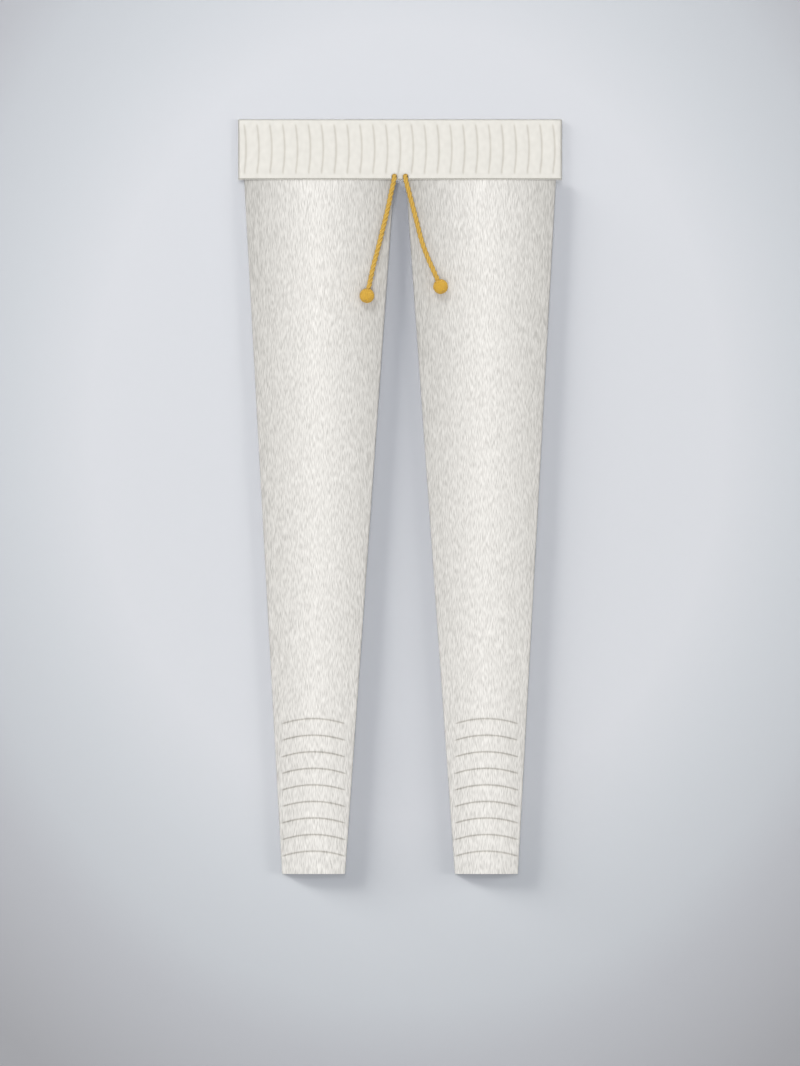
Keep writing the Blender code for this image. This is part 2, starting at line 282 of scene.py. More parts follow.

# Colours, and the tints that shade them. Shade is painted on the legs towards their seams, and grows
# from LEG_SHADE_MIDDLE to LEG_SHADE_HALF on both sides of it.
LEG_DEEP, LEG_BASE, LEG_PALE = "#C5C2BD", "#DDDAD5", "#EBE8E3"
LEG_PAINTED_SHADE = "#CFCFCE"
LEG_SHADE_MIDDLE, LEG_SHADE_HALF, LEG_SHADE_CURVE = 0.1130, 0.102, 1.2
BAND_DEEP, BAND_PALE = "#D4D1CA", "#DAD7D0"
# The tint of the shade painted into the creases of both cloths
CREASE_PAINTED_SHADE = "#D8D6D0"
CORD_BASE, CORD_FIBRE_SHADE = "#D1AA48", "#B18B36"
BALL_BASE, BALL_FIBRE_SHADE = "#D4A838", "#B28828"
EDGE_THREAD, EDGE_THREAD_DEEP = "#B4B2AA", "#9C998F"
CREAM_THREAD, CREAM_THREAD_DEEP = "#DAD7CF", "#C4C0B6"
# Tones of the pool of light painted on the floor, each with its distance from the palest place
FLOOR_LIGHT_POOL_TONES = (
    (0.53, "#87898F"), (0.66, "#808389"), (0.78, "#7A7D83"), (0.86, "#73757B"), (1.06, "#65666B"),
)
# The cloths' threads are 0.4 mm apart, and are drawn 0.7 mm apart so that they show
DRAWN_THREAD = 0.0007


def smooth(x):
    """A smooth step from 0 at x = 0 to 1 at x = 1, for a number or an array."""
    x = np.clip(x, 0.0, 1.0)
    return x * x * (3 - 2 * x)


def roll(distance, width):
    """A quarter round that rises from 0 at an edge to 1 at this width from it."""
    inward = np.clip(distance / width, 0.0, 1.0)
    return np.sqrt(1 - (1 - inward) ** 2)


def blend(start, end, part):
    return start + (end - start) * part


def link(piece):
    bpy.context.scene.collection.objects.link(piece)
    return piece


# Colours and materials


def linear(hex_colour):
    """An sRGB hex colour as linear red, green, blue and alpha."""
    channels = [int(hex_colour[i : i + 2], 16) / 255 for i in (1, 3, 5)]
    return (*[c / 12.92 if c <= 0.04045 else ((c + 0.055) / 1.055) ** 2.4 for c in channels], 1.0)


def add(tree, kind, inputs=None, **settings):
    """A node with its settings. inputs gives a socket's name or number a value or another output."""
    node = tree.nodes.new(kind)
    for name, value in settings.items():
        setattr(node, name, value)
    for key, value in (inputs or {}).items():
        if isinstance(value, bpy.types.NodeSocket):
            tree.links.new(value, node.inputs[key])
        else:
            node.inputs[key].default_value = value
    return node


def set_stops(ramp, *stops):
    """Gives a colour ramp its stops, each a place and a hex colour, and returns its colour."""
    elements = ramp.color_ramp.elements
    for element, (place, colour) in zip(elements, (stops[0], stops[-1])):
        element.position = place
        element.color = linear(colour)
    for place, colour in stops[1:-1]:
        elements.new(place).color = linear(colour)
    return ramp.outputs["Color"]


def shade(tree, amount, colour, tint):
    """The colour multiplied by a tint, as far as the amount says. The mix node has colours as its
    inputs 6 and 7 and its output 2."""
    inputs = {0: amount, 6: colour, 7: linear(tint)}
    return add(tree, "ShaderNodeMix", inputs, data_type="RGBA", blend_type="MULTIPLY").outputs[2]


def new_material(name, roughness, specular, sheen=0.0):
    material = bpy.data.materials.new(name)
    material.use_nodes = True
    tree = material.node_tree
    shader = tree.nodes["Principled BSDF"]
    shader.inputs["Roughness"].default_value = roughness
    shader.inputs["Specular IOR Level"].default_value = specular
    shader.inputs["Sheen Weight"].default_value = sheen
    shader.inputs["Sheen Roughness"].default_value = 0.5
    return material, tree, shader


def slubs(tree, width, length, turn, seed):
    """Noise drawn out along the warp and turned by some degrees: about 0.5 on average. Each seed
    takes another stretch of it."""
    place = add(tree, "ShaderNodeTexCoord").outputs["Object"]
    turned = add(tree, "ShaderNodeMapping", {
        "Vector": place,
        "Location": (seed * 0.37, seed * 0.61, 0.0),
        "Rotation": (0.0, 0.0, math.radians(turn)),
    })
    sized = add(tree, "ShaderNodeMapping", {
        "Vector": turned.outputs["Vector"],
        "Scale": (1 / width, 1 / length, 1 / length),
    })
    noise = add(tree, "ShaderNodeTexNoise", {
        "Vector": sized.outputs["Vector"], "Scale": 1.0, "Detail": 0.0,
    })
    return noise.outputs["Fac"]


def weave(tree, thread):
    """The over and under of plain weave, from -1 to 1, for threads this far apart."""
    place = add(tree, "ShaderNodeTexCoord").outputs["Object"]
    axes = add(tree, "ShaderNodeSeparateXYZ", {"Vector": place})
    waves = []
    for axis in ("X", "Y"):
        inputs = {0: axes.outputs[axis], 1: math.pi / thread}
        turn = add(tree, "ShaderNodeMath", inputs, operation="MULTIPLY").outputs["Value"]
        waves.append(add(tree, "ShaderNodeMath", {0: turn}, operation="SINE").outputs["Value"])
    crossed = add(tree, "ShaderNodeMath", dict(enumerate(waves)), operation="MULTIPLY")
    return crossed.outputs["Value"]


def bumps(tree, shader, *heights):
    """Bumps on each other, each a height and its depth in metres."""
    normal = None
    for height, depth in heights:
        inputs = {"Height": height, "Distance": depth}
        if normal:
            inputs["Normal"] = normal
        normal = add(tree, "ShaderNodeBump", inputs).outputs["Normal"]
    tree.links.new(normal, shader.inputs["Normal"])


def painted_leg_shade(tree):
    """How much painted shade each point of a leg gets: 0 along its middle, rising to 1 by its seams at the
    hip.
    """
    place = add(tree, "ShaderNodeTexCoord").outputs["Object"]
    tone = add(tree, "ShaderNodeSeparateXYZ", {"Vector": place}).outputs["X"]
    for operation, *values in (
        ("ABSOLUTE",),
        ("SUBTRACT", LEG_SHADE_MIDDLE),
        ("ABSOLUTE",),
        ("DIVIDE", LEG_SHADE_HALF),
        ("POWER", LEG_SHADE_CURVE),
    ):
        inputs = dict(enumerate((tone, *values)))
        tone = add(tree, "ShaderNodeMath", inputs, operation=operation).outputs["Value"]
    return tone


def slub_cotton_silk():
    """Handloom cotton-silk, plain woven and washed: a soft matt cream. Its warp is slubby, so fine
    streaks about 1 mm wide and 6 mm long, paler and deeper, run down the leg and lean to both sides.
    Shade is painted in towards its seams, so it is paler along the middle of each leg than at its seams."""
    material, tree, shader = new_material("slub_cotton_silk", roughness=0.85, specular=0.25, sheen=0.10)
    mixed = slubs(tree, width=0.0006, length=0.0090, turn=0, seed=1)
    for turn, seed in ((5, 2), (-5, 3)):
        leaning = slubs(tree, width=0.0006, length=0.0085, turn=turn, seed=seed)
        mixed = add(tree, "ShaderNodeMath", {0: mixed, 1: leaning}, operation="ADD").outputs["Value"]
    # The three add up to about 1.5, and mostly stay between these two values
    amount = add(tree, "ShaderNodeMapRange", {
        "Value": mixed, "From Min": 1.12, "From Max": 1.88,
    }).outputs["Result"]
    spread = add(tree, "ShaderNodeValToRGB", {"Fac": amount})
    colour = set_stops(spread, (0.0, LEG_DEEP), (0.5, LEG_BASE), (1.0, LEG_PALE))
    # Painted shade, deepening towards each leg's seams, where a rounded leg would turn from the light
    colour = shade(tree, painted_leg_shade(tree), colour, LEG_PAINTED_SHADE)
    # Shade painted into the churis' creases
    painted_crease_shade = add(tree, "ShaderNodeAttribute", attribute_name="painted_crease_shade").outputs["Fac"]
    colour = shade(tree, painted_crease_shade, colour, CREASE_PAINTED_SHADE)
    tree.links.new(colour, shader.inputs["Base Color"])
    bumps(tree, shader, (amount, 0.00015), (weave(tree, DRAWN_THREAD), 0.00004))
    return material


def plain_cotton_silk():
    """The band's smoother cotton-silk, cut without slubs: the same cream, very slightly mottled."""
    material, tree, shader = new_material("plain_cotton_silk", roughness=0.80, specular=0.25, sheen=0.10)
    mottle = slubs(tree, width=0.006, length=0.009, turn=0, seed=4)
    spread = add(tree, "ShaderNodeValToRGB", {"Fac": mottle})
    colour = set_stops(spread, (0.2, BAND_DEEP), (0.8, BAND_PALE))
    # Shade painted into the gathers' creases
    painted_crease_shade = add(tree, "ShaderNodeAttribute", attribute_name="painted_crease_shade").outputs["Fac"]
    colour = shade(tree, painted_crease_shade, colour, CREASE_PAINTED_SHADE)
    tree.links.new(colour, shader.inputs["Base Color"])
    bumps(tree, shader, (mottle, 0.0001), (weave(tree, DRAWN_THREAD), 0.00003))
    return material


def twisted_cotton(name, base, deep, roughness):
    """Mercerised cotton yarn: a soft shine along its fibres, and shade painted between them. Real fibres
    are far finer, and are drawn 0.5 mm apart so that they show."""
    material, tree, shader = new_material(name, roughness, specular=0.35, sheen=0.15)
    width, length = 0.0005, 0.007
    along = add(tree, "ShaderNodeUVMap", uv_map="thread").outputs["UV"]
    sized = add(tree, "ShaderNodeMapping", {"Vector": along, "Scale": (1 / width, 1 / length, 1.0)})
    fibres = add(tree, "ShaderNodeTexNoise", {
        "Vector": sized.outputs["Vector"], "Scale": 1.0, "Detail": 1.0,
    }).outputs["Fac"]
    spread = add(tree, "ShaderNodeValToRGB", {"Fac": fibres})
    # Painted shade between the fibres, deepest where their bump lies lowest
    tree.links.new(set_stops(spread, (0.30, deep), (0.60, base)), shader.inputs["Base Color"])
    bumps(tree, shader, (fibres, 0.00015))
    return material


def sewing_thread(name, base, deep):
    """Spun polyester sewing thread, a little shinier than the cloth, with twist marks 0.5 mm apart."""
    material, tree, shader = new_material(name, roughness=0.6, specular=0.4)
    twist = 0.0005
    place = add(tree, "ShaderNodeTexCoord").outputs["Object"]
    marks = add(tree, "ShaderNodeTexNoise", {"Vector": place, "Scale": 1 / twist, "Detail": 0.0})
    spread = add(tree, "ShaderNodeValToRGB", {"Fac": marks.outputs["Fac"]})
    tree.links.new(set_stops(spread, (0.3, deep), (0.7, base)), shader.inputs["Base Color"])
    return material


def paper_with_painted_light_pool():
    """Matt studio paper in pale blue-grey, with a pool of light painted on it that darkens outwards."""
    material, tree, shader = new_material("paper_with_painted_light_pool", roughness=0.95, specular=0.1)
    place = add(tree, "ShaderNodeTexCoord").outputs["Object"]
    centred = add(tree, "ShaderNodeMapping", {
        "Vector": place,
        "Location": (-FLOOR_NARROWNESS * FLOOR_MIDDLE_X, -FLOOR_MIDDLE_Y, 0.0),
        "Scale": (FLOOR_NARROWNESS, 1.0, 1.0),
    }).outputs["Vector"]
    # The painted pool of light: palest at its middle, darker with distance from it
    outward = add(tree, "ShaderNodeVectorMath", {0: centred}, operation="LENGTH").outputs["Value"]
    furthest = FLOOR_LIGHT_POOL_TONES[-1][0]
    stops = [(distance / furthest, colour) for distance, colour in FLOOR_LIGHT_POOL_TONES]
    share = add(tree, "ShaderNodeMath", {0: outward, 1: furthest}, operation="DIVIDE").outputs["Value"]
    spread = add(tree, "ShaderNodeValToRGB", {"Fac": share})
    tree.links.new(set_stops(spread, *stops), shader.inputs["Base Color"])
    return material


# Cloth shells


def cloth_shell(name, x, y, low, high, material, painted_crease_shade):
    """A closed wall of cloth over a grid of points, with its faces outwards."""
    rows, columns = x.shape
    count = rows * columns
    points = np.concatenate([np.stack([x, y, z], -1).reshape(-1, 3) for z in (high, low)])
    index = np.arange(count).reshape(rows, columns)
    top = np.stack([index[:-1, :-1], index[:-1, 1:], index[1:, 1:], index[1:, :-1]], -1).reshape(-1, 4)
    around = np.concatenate([index[0, :-1], index[:-1, -1], index[-1, :0:-1], index[:0:-1, 0]])
    ahead = np.roll(around, -1)
    rim = np.stack([ahead, around, around + count, ahead + count], -1)
    faces = np.concatenate([top, top[:, ::-1] + count, rim])
    area = np.sum(points[around, 0] * points[ahead, 1] - points[ahead, 0] * points[around, 1])
    if area < 0:
        faces = faces[:, ::-1]
    mesh = bpy.data.meshes.new(name)
    mesh.from_pydata(points.tolist(), [], faces.tolist())
    # Each point keeps how much shade is painted on it in a crease
    marks = mesh.attributes.new("painted_crease_shade", "FLOAT", "POINT")
    marks.data.foreach_set("value", np.tile(painted_crease_shade.reshape(-1), 2).astype(np.float32))
    mesh.materials.append(material)
    mesh.shade_smooth()
    mesh.set_sharp_from_angle(angle=SHARP_IN_CLOTH)
    return link(bpy.data.objects.new(name, mesh))


def edge_steps(width, count):
    """Distances from an edge over a quarter round of this width, close together at the edge."""
    return [width * (1 - math.cos(math.pi / 2 * i / count)) for i in range(count)]


# Stitches


def stitch_tree():
    """Geometry Nodes that lay stitches along the edges of a mesh. Each lies on the cloth, whose
    normal the mesh gives as the attribute surface."""
    tree = bpy.data.node_groups.new("stitch_rows", "GeometryNodeTree")
    for name, kind in (
        ("Geometry", "NodeSocketGeometry"),
        ("Spacing", "NodeSocketFloat"),
        ("Stitch Size", "NodeSocketVector"),
        ("Slant", "NodeSocketFloat"),
        ("Thread", "NodeSocketMaterial"),
    ):
        tree.interface.new_socket(name, in_out="INPUT", socket_type=kind)
    tree.interface.new_socket("Geometry", in_out="OUTPUT", socket_type="NodeSocketGeometry")
    given = add(tree, "NodeGroupInput").outputs
    path = add(tree, "GeometryNodeMeshToCurve", {"Mesh": given["Geometry"]}).outputs["Curve"]
    spaced = add(tree, "GeometryNodeResampleCurve", {
        "Curve": path, "Length": given["Spacing"],
    }, mode="LENGTH").outputs["Curve"]
    ball = add(tree, "GeometryNodeMeshUVSphere", {"Segments": 6, "Rings": 4, "Radius": 0.5})
    turn = add(tree, "ShaderNodeCombineXYZ", {"Z": given["Slant"]}).outputs["Vector"]
    stitch = add(tree, "GeometryNodeTransform", {
        "Geometry": ball.outputs["Mesh"], "Scale": given["Stitch Size"], "Rotation": turn,
    }).outputs["Geometry"]
    surface = add(tree, "GeometryNodeInputNamedAttribute", {
        "Name": "surface",
    }, data_type="FLOAT_VECTOR").outputs["Attribute"]
    upright = add(tree, "FunctionNodeAlignRotationToVector", {"Vector": surface}, axis="Z")
    along = add(tree, "FunctionNodeAlignRotationToVector", {
        "Rotation": upright.outputs["Rotation"],
        "Vector": add(tree, "GeometryNodeInputTangent").outputs["Tangent"],
    }, axis="X", pivot_axis="Z")
    laid = add(tree, "GeometryNodeInstanceOnPoints", {
        "Points": spaced, "Instance": stitch, "Rotation": along.outputs["Rotation"],
    }).outputs["Instances"]
    real = add(tree, "GeometryNodeRealizeInstances", {"Geometry": laid}).outputs["Geometry"]
    soft = add(tree, "GeometryNodeSetShadeSmooth", {"Geometry": real}).outputs["Geometry"]
    sewn = add(tree, "GeometryNodeSetMaterial", {"Geometry": soft, "Material": given["Thread"]})
    add(tree, "NodeGroupOutput", {"Geometry": sewn.outputs["Geometry"]})
    return tree


def stitches(name, tree, rows, stitch, thread):
    """A piece of stitches on rows of points, each row with its points and their surface normals."""
    points, normals, edges = [], [], []
    for row_points, row_normals in rows:
        edges += [(len(points) + i, len(points) + i + 1) for i in range(len(row_points) - 1)]
        points += row_points.tolist()
        normals += row_normals.tolist()
    mesh = bpy.data.meshes.new(f"{name}_path")
    mesh.from_pydata(points, edges, [])
    surface = mesh.attributes.new("surface", "FLOAT_VECTOR", "POINT")
    surface.data.foreach_set("vector", np.array(normals, np.float32).reshape(-1))
    path = link(bpy.data.objects.new(f"{name}_path", mesh))
    modifier = path.modifiers.new("stitches", "NODES")
    modifier.node_group = tree
    values = {
        "Spacing": stitch.spacing,
        "Stitch Size": stitch.size,
        "Slant": math.radians(stitch.slant),
        "Thread": thread,
    }
    for socket in tree.interface.items_tree:
        if socket.in_out == "INPUT" and socket.name in values:
            modifier[socket.identifier] = values[socket.name]
    sewn = bpy.data.meshes.new_from_object(path.evaluated_get(bpy.context.evaluated_depsgraph_get()))
    sewn.name = name
    for attribute in [a for a in sewn.attributes if a.name == "surface"]:
        sewn.attributes.remove(attribute)
    bpy.data.objects.remove(path)
    piece = link(bpy.data.objects.new(name, sewn))
    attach(piece, "root")
    return piece


def row_on(surface, u, v):
    """A row of points just over a surface of two measures, and its normals there."""
    u, v = np.broadcast_arrays(np.asarray(u, float), np.asarray(v, float))
    step = 0.0001
    here = np.stack(surface(u, v)[:3], -1)
    beside = np.stack(surface(u + step, v)[:3], -1)
    beyond = np.stack(surface(u, v + step)[:3], -1)
    normals = np.cross(beside - here, beyond - here)
    normals *= np.sign(normals[:, 2:])
    normals /= np.linalg.norm(normals, axis=1, keepdims=True)
    return here + STITCH_LIFT * normals, normals


# Legs


def leg_edges(down):
    """How far the left leg's inseam and outseam are from the middle of the pants."""
    part = down / LEG_LENGTH
    inner = blend(LEG_TOP_INNER, LEG_HEM_INNER, part)
    outer = blend(LEG_TOP_OUTER, LEG_HEM_OUTER, part)
    return inner, outer


def leg_hollow(down):
    """How much room there is under the middle of the leg's front."""
    hollow = np.full_like(down, LEG_LOFTS[0].hollow)
    for above, below in zip(LEG_LOFTS, LEG_LOFTS[1:]):
        part = smooth((down - above.down) / (below.down - above.down))
        hollow += (below.hollow - above.hollow) * part
    return hollow


def churi_drop(across, down):
    """How much further down the leg each point lies than the middle of its crease, which is bowed."""
    inner, outer = leg_edges(down)
    offset = (blend(inner, outer, (across + 1) / 2) - CHURI_MIDDLE) / CHURI_HALF
    starting = smooth((down - CHURI_FIRST + CHURI_BEND_START) / CHURI_BEND_LENGTH)
    ending = smooth((LEG_LENGTH - down) / CHURI_BEND_END)
    return CHURI_RISE * np.minimum(offset * offset, CHURI_MOST_DROP) * starting * ending


def churi_relief(x, down):
    """Height of the folds over the plain cloth, and how much shade is painted on each point in a crease.
    Each fold swells towards its lower edge and rolls under there, onto the one below."""
    offset = (x - CHURI_MIDDLE) / CHURI_HALF
    relief, line = np.zeros_like(x), np.zeros_like(x)
    for number, churi in enumerate(CHURIS):
        past = down - CHURI_FIRST - number * CHURI_PITCH
        reach = np.where(offset < 0, churi.reach_in, churi.reach_out)
        shown = 1 - smooth((np.abs(offset) - reach + CHURI_FADE / 2) / CHURI_FADE)
        under = 1 - roll(-past, CHURI_ABOVE)
        over = 1 - smooth(past / CHURI_BELOW)
        swell = smooth(1 + past / (CHURI_SWELL * CHURI_PITCH))
        relief += shown * np.where(past < 0, CHURI_CREST * swell - churi.depth * under, -churi.depth * over)
        line = np.maximum(line, CHURI_CREASE_SHADE * shown * np.exp(-((past / CHURI_LINE) ** 2)))
    return relief, line


def trough_relief(x, down):
    """Height of the soft troughs, which is below 0 in them."""
    relief = np.zeros_like(x)
    for trough in LEG_TROUGHS:
        inner, outer = leg_edges(trough.down)
        middle = blend(inner, outer, (trough.across + 1) / 2)
        turn = math.radians(trough.turn)
        along = (down - trough.down) * math.cos(turn) + (x - middle) * math.sin(turn)
        aside = (x - middle) * math.cos(turn) - (down - trough.down) * math.sin(turn)
        relief -= trough.depth * np.exp(-((along / trough.length) ** 2) - (aside / trough.width) ** 2)
    return relief


def leg_rows(top):
    """How far down the leg the rows of its grid are, close together where it is creased."""
    rows = [top, top / 2] if top < 0 else []
    rows += list(np.linspace(0.0, CHURI_FIRST - CHURI_PITCH, PLAIN_LEG_ROWS))
    for number in range(len(CHURIS)):
        start = CHURI_FIRST + (number - 1) * CHURI_PITCH
        rows += [start + step * CHURI_PITCH for step in ROWS_IN_FOLD + ROWS_PAST_CREASE]
    last = CHURI_FIRST + (len(CHURIS) - 1) * CHURI_PITCH
    rows += [last + step for step in ROWS_BELOW_LAST]
    rows += [LEG_LENGTH - step for step in edge_steps(HEM_ROLL, count=5)]
    return np.array(sorted(rows))


def leg_grid(top):
    """How far across the leg each point is, from -1 at the inseam to 1, and how far down."""
    turn = np.linspace(-math.pi / 2, math.pi / 2, LEG_COLUMNS)
    return np.meshgrid(np.sin(turn), leg_rows(top))


def leg_plan(across, down):
    """Where each point lies, seen from above, and its distance from the nearer side seam."""
    drop = churi_drop(across, down)
    inner, outer = leg_edges(down + drop)
    x = blend(inner, outer, (across + 1) / 2)
    return x, LEG_Y - down - drop, (1 - np.abs(across)) * (outer - inner) / 2


def leg_front(across, down):
    """A point of the left leg's front, and how much shade is painted on it in a crease."""
    x, y, to_seam = leg_plan(across, down)
    crown = np.maximum(1 - np.abs(across) ** CROWN_FLATNESS, 0) ** (1 / CROWN_ROUNDNESS)
    high = LEG_FLOOR + leg_hollow(down) * crown + blend(EDGE_RISE, MIDDLE_RISE, crown)
    relief, line = churi_relief(x, down)
    high = high + relief + trough_relief(x, down)
    high = blend(SEAM_HEIGHT + THINNEST, high, roll(to_seam, SEAM_ROLL))
    high = high - EDGE_DROP * (1 - roll(LEG_LENGTH - down, HEM_ROLL))
    return x, y, np.maximum(high, SEAM_HEIGHT + THINNEST), line


def leg_back(across, down):
    """A point of the left leg's underside, and how much shade is painted on it in a crease."""
    x, y, to_seam = leg_plan(across, down)
    line = churi_relief(x, down)[1]
    groove = LEG_UNDER_GROOVE / CHURI_CREASE_SHADE * line - trough_relief(x, down)
    low = groove + (LEG_BACK_WALL - THINNEST) * (1 - roll(to_seam, SEAM_ROLL))
    return x, y, low, CHURI_UNDER_CREASE_SHADE * line


def build_leg(name, side, material):
    x, y, high, line = leg_front(*leg_grid(-LEG_TUCK))
    low = np.maximum(high - LEG_WALL, SEAM_HEIGHT)
    front = cloth_shell(f"{name}_leg_front_cloth", side * x, y, low, high, material, line)
    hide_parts(f"{name}_leg_front")
    x, y, low, line = leg_back(*leg_grid(0.0))
    high = np.full_like(low, LEG_BACK_WALL)
    back = cloth_shell(f"{name}_leg_back_cloth", side * x, y, low, high, material, line)
    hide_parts(f"{name}_leg_back")
    for piece, below in ((front, f"{name}_leg_back"), (back, "backdrop_floor")):
        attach(piece, "root")
    return [front, back]


def build_hem_stitches(name, side, tree, thread):
    """Small blind stitches that hold the hem, a little above its edge."""
    across = np.linspace(-HEM_REACH, HEM_REACH, num=60)
    points, normals = row_on(leg_front, across, LEG_LENGTH - HEM_INSET)
    mirror = np.array((side, 1, 1))
    rows = [(points * mirror, normals * mirror)]
    stitches(f"{name}_hem_stitches", tree, rows, BLIND_STITCH, thread)


# Waistband


def notch_bottom(x):
    """How far the band's lower edge is cut back, above the two mouths of the casing."""
    aside = np.abs(np.abs(x) - NOTCH_X)
    arch = NOTCH_UP + np.sqrt(np.maximum(NOTCH_RADIUS**2 - aside**2, 0.0))
    return np.where(aside < NOTCH_RADIUS, arch, 0.0)


def band_grid():
    """How far across the band each point is, and how far up from its lower edge."""
    half = GATHERS // 2
    steps = GATHER_STEPS + tuple(1 - step for step in reversed(GATHER_STEPS[1:-1]))
    columns = []
    for number in range(-half - 1, half + 1):
        columns += [GATHER_SHIFT + (number + step) * GATHER_PITCH for step in steps]
    for side in (-1, 1):
        columns += [side * (BAND_HALF - step) for step in edge_steps(END_ROLL, count=9)]
        for i in range(NOTCH_COLUMNS):
            angle = math.pi * i / (NOTCH_COLUMNS - 1)
            columns.append(side * NOTCH_X + (NOTCH_RADIUS - NOTCH_STEP) * math.cos(angle))
        columns += [side * NOTCH_X + step * (NOTCH_RADIUS + NOTCH_STEP) for step in (-1, 1)]
    columns = sorted({round(x, 7) for x in columns if abs(x) <= BAND_HALF})
    rows = edge_steps(LOWER_EDGE_ROLL, count=4)
    rows += list(np.linspace(FIRST_ROW, CLOSE_ROWS, num=10))
    rows += list(np.linspace(WIDE_ROWS, BAND_DEPTH - WIDE_ROWS, num=16))
    rows += [BAND_DEPTH - step for step in np.linspace(CLOSE_ROWS, EDGE_ROLL, num=9)]
    rows += [BAND_DEPTH - step for step in reversed(edge_steps(EDGE_ROLL, count=7))]
    return np.meshgrid(np.array(columns), np.array(rows))


def gathers(x, up):
    """How far each point is from the middle of the nearest gather, and how fully gathered it is."""
    turn = (x - GATHER_SHIFT) / GATHER_PITCH
    aside = np.abs(turn - np.round(turn)) * GATHER_PITCH
    edge = np.minimum(up, BAND_DEPTH - up)
    inside = (np.abs(x) < BAND_HALF - GATHER_FROM_END).astype(float)
    return aside, inside * smooth((edge - MARGIN_START) / (MARGIN_END - MARGIN_START))


def gather_bow(x, up):
    """How far the gathers swing to one side: they are bowed, and held straight at the band's ends."""
    along = 2 * up / BAND_DEPTH - 1
    return GATHER_BOW * (0.5 - along * along) * smooth((BAND_HALF - np.abs(x)) / BOW_FROM_END)


def band_front(x, up):
    """A point of the band's front, and how much shade is painted on it in a gather's crease."""
    bottom = notch_bottom(x)
    up = np.where(up < BAND_SQUEEZE, bottom + up * (1 - bottom / BAND_SQUEEZE), up)
    bow = gather_bow(x, up) * smooth((up - NOTCH_UP - NOTCH_RADIUS) / BOW_FROM_MOUTH)
    aside, gathered = gathers(x, up)
    number = np.round((x - GATHER_SHIFT) / GATHER_PITCH)
    depth = GATHER_DIP * (1 - UNEVENNESS + UNEVENNESS * np.sin(UNEVEN_TURN * number + UNEVEN_START))
    dip = depth * np.exp(-((aside / GATHER_GROOVE) ** GATHER_SHARPNESS))
    swell = GATHER_SWELL * (np.sin(math.pi * aside / GATHER_PITCH) ** 2 - 1)
    hollow = blend(MARGIN_HOLLOW, GATHER_HOLLOW - dip + swell, gathered)
    tack = np.exp(-((x / TACK_HALF) ** 2)) * (1 - smooth(up / TACK_HEIGHT))
    rise = BAND_RISE + hollow * (1 - tack) - TACK_DIP * tack
    beside, along = (np.abs(x) - NOTCH_X) / MOUTH_WIDTH, (up - MOUTH_UP) / MOUTH_LENGTH
    steepness = np.where(along < 0, MOUTH_STEEPNESS, 1.0)
    rise = rise + MOUTH_LIFT * np.exp(-(beside**2) - along**2 * steepness)
    end, top = roll(BAND_HALF - np.abs(x), END_ROLL), roll(BAND_DEPTH - up, EDGE_ROLL)
    high = BAND_FLOOR + THINNEST + (rise - THINNEST) * end * top
    high = np.maximum(high - EDGE_DROP * (1 - roll(up - bottom, LOWER_EDGE_ROLL)), BAND_FLOOR)
    line = BAND_CREASE_SHADE * gathered * np.exp(-((aside / GATHER_LINE) ** 2))
    return x + bow, BAND_Y + up, high, line


def band_back(x, up):
    """A point of the band's underside, and how much shade is painted on it in a gather's crease."""
    aside, gathered = gathers(x, up)
    groove = gathered * np.exp(-((aside / GATHER_GROOVE) ** GATHER_SHARPNESS))
    end, top = roll(BAND_HALF - np.abs(x), BAND_UNDER_ROLL), roll(BAND_DEPTH - up, BAND_UNDER_ROLL)
    low = BAND_UNDER_GROOVE * groove + (BAND_BACK_WALL - THINNEST) * (1 - end * top)
    return x + gather_bow(x, up), BAND_Y + up, low, BAND_UNDER_CREASE_SHADE * groove


def build_waistband(material):
    x, y, high, line = band_front(*band_grid())
    low = np.maximum(high - BAND_WALL, BAND_FLOOR - THINNEST)
    front = cloth_shell("waistband_front_cloth", x, y, low, high, material, line)
    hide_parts("waistband_front")
    x, y, low, line = band_back(*band_grid())
    high = np.full_like(low, BAND_BACK_WALL)
    back = cloth_shell("waistband_back_cloth", x, y, low, high, material, line)
    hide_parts("waistband_back")
    for piece, below in ((front, "waistband_back"), (back, "backdrop_floor")):
        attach(piece, "root")
    return [front, back]


def build_band_stitches(tree, edge_thread, cream_thread):
    """Grey overcasting along the band's four edges, and small cream stitches round its mouths."""
    edge = BAND_HALF - EDGE_INSET
    across = np.linspace(-edge, edge, num=260)
    upward = np.linspace(EDGE_INSET, BAND_DEPTH - EDGE_INSET, num=60)
    from_mouth = np.linspace(NOTCH_X + NOTCH_RADIUS + CLEAR_OF_MOUTH, edge, num=130)
    tack = NOTCH_X - NOTCH_RADIUS - CLEAR_OF_TACK
    rows = [row_on(band_front, across, BAND_DEPTH - EDGE_INSET)]
    for side in (-1, 1):
        rows.append(row_on(band_front, side * edge, upward))
        rows.append(row_on(band_front, side * from_mouth, EDGE_INSET))
    rows.append(row_on(band_front, np.linspace(-tack, tack, num=6), EDGE_INSET))
    stitches("band_edge_overcasting", tree, rows, OVERCASTING, edge_thread)
    rows = []
    for side in (-1, 1):
        angle = np.linspace(*MOUTH_ARC, num=24) * math.pi
        out = NOTCH_RADIUS + MOUTH_INSET
        x = side * NOTCH_X + out * np.cos(angle)
        y = BAND_Y + NOTCH_UP + out * np.sin(angle)
        plain = np.abs(np.abs(x) - NOTCH_X) >= NOTCH_RADIUS
        up = np.where(plain, y - BAND_Y, MOUTH_EDGE)
        points, normals = row_on(band_front, x, up)
        points[:, 1] = y
        rows.append((points, normals))
    stitches("casing_mouth_stitches", tree, rows, MOUTH_STITCH, cream_thread)


# Drawstring


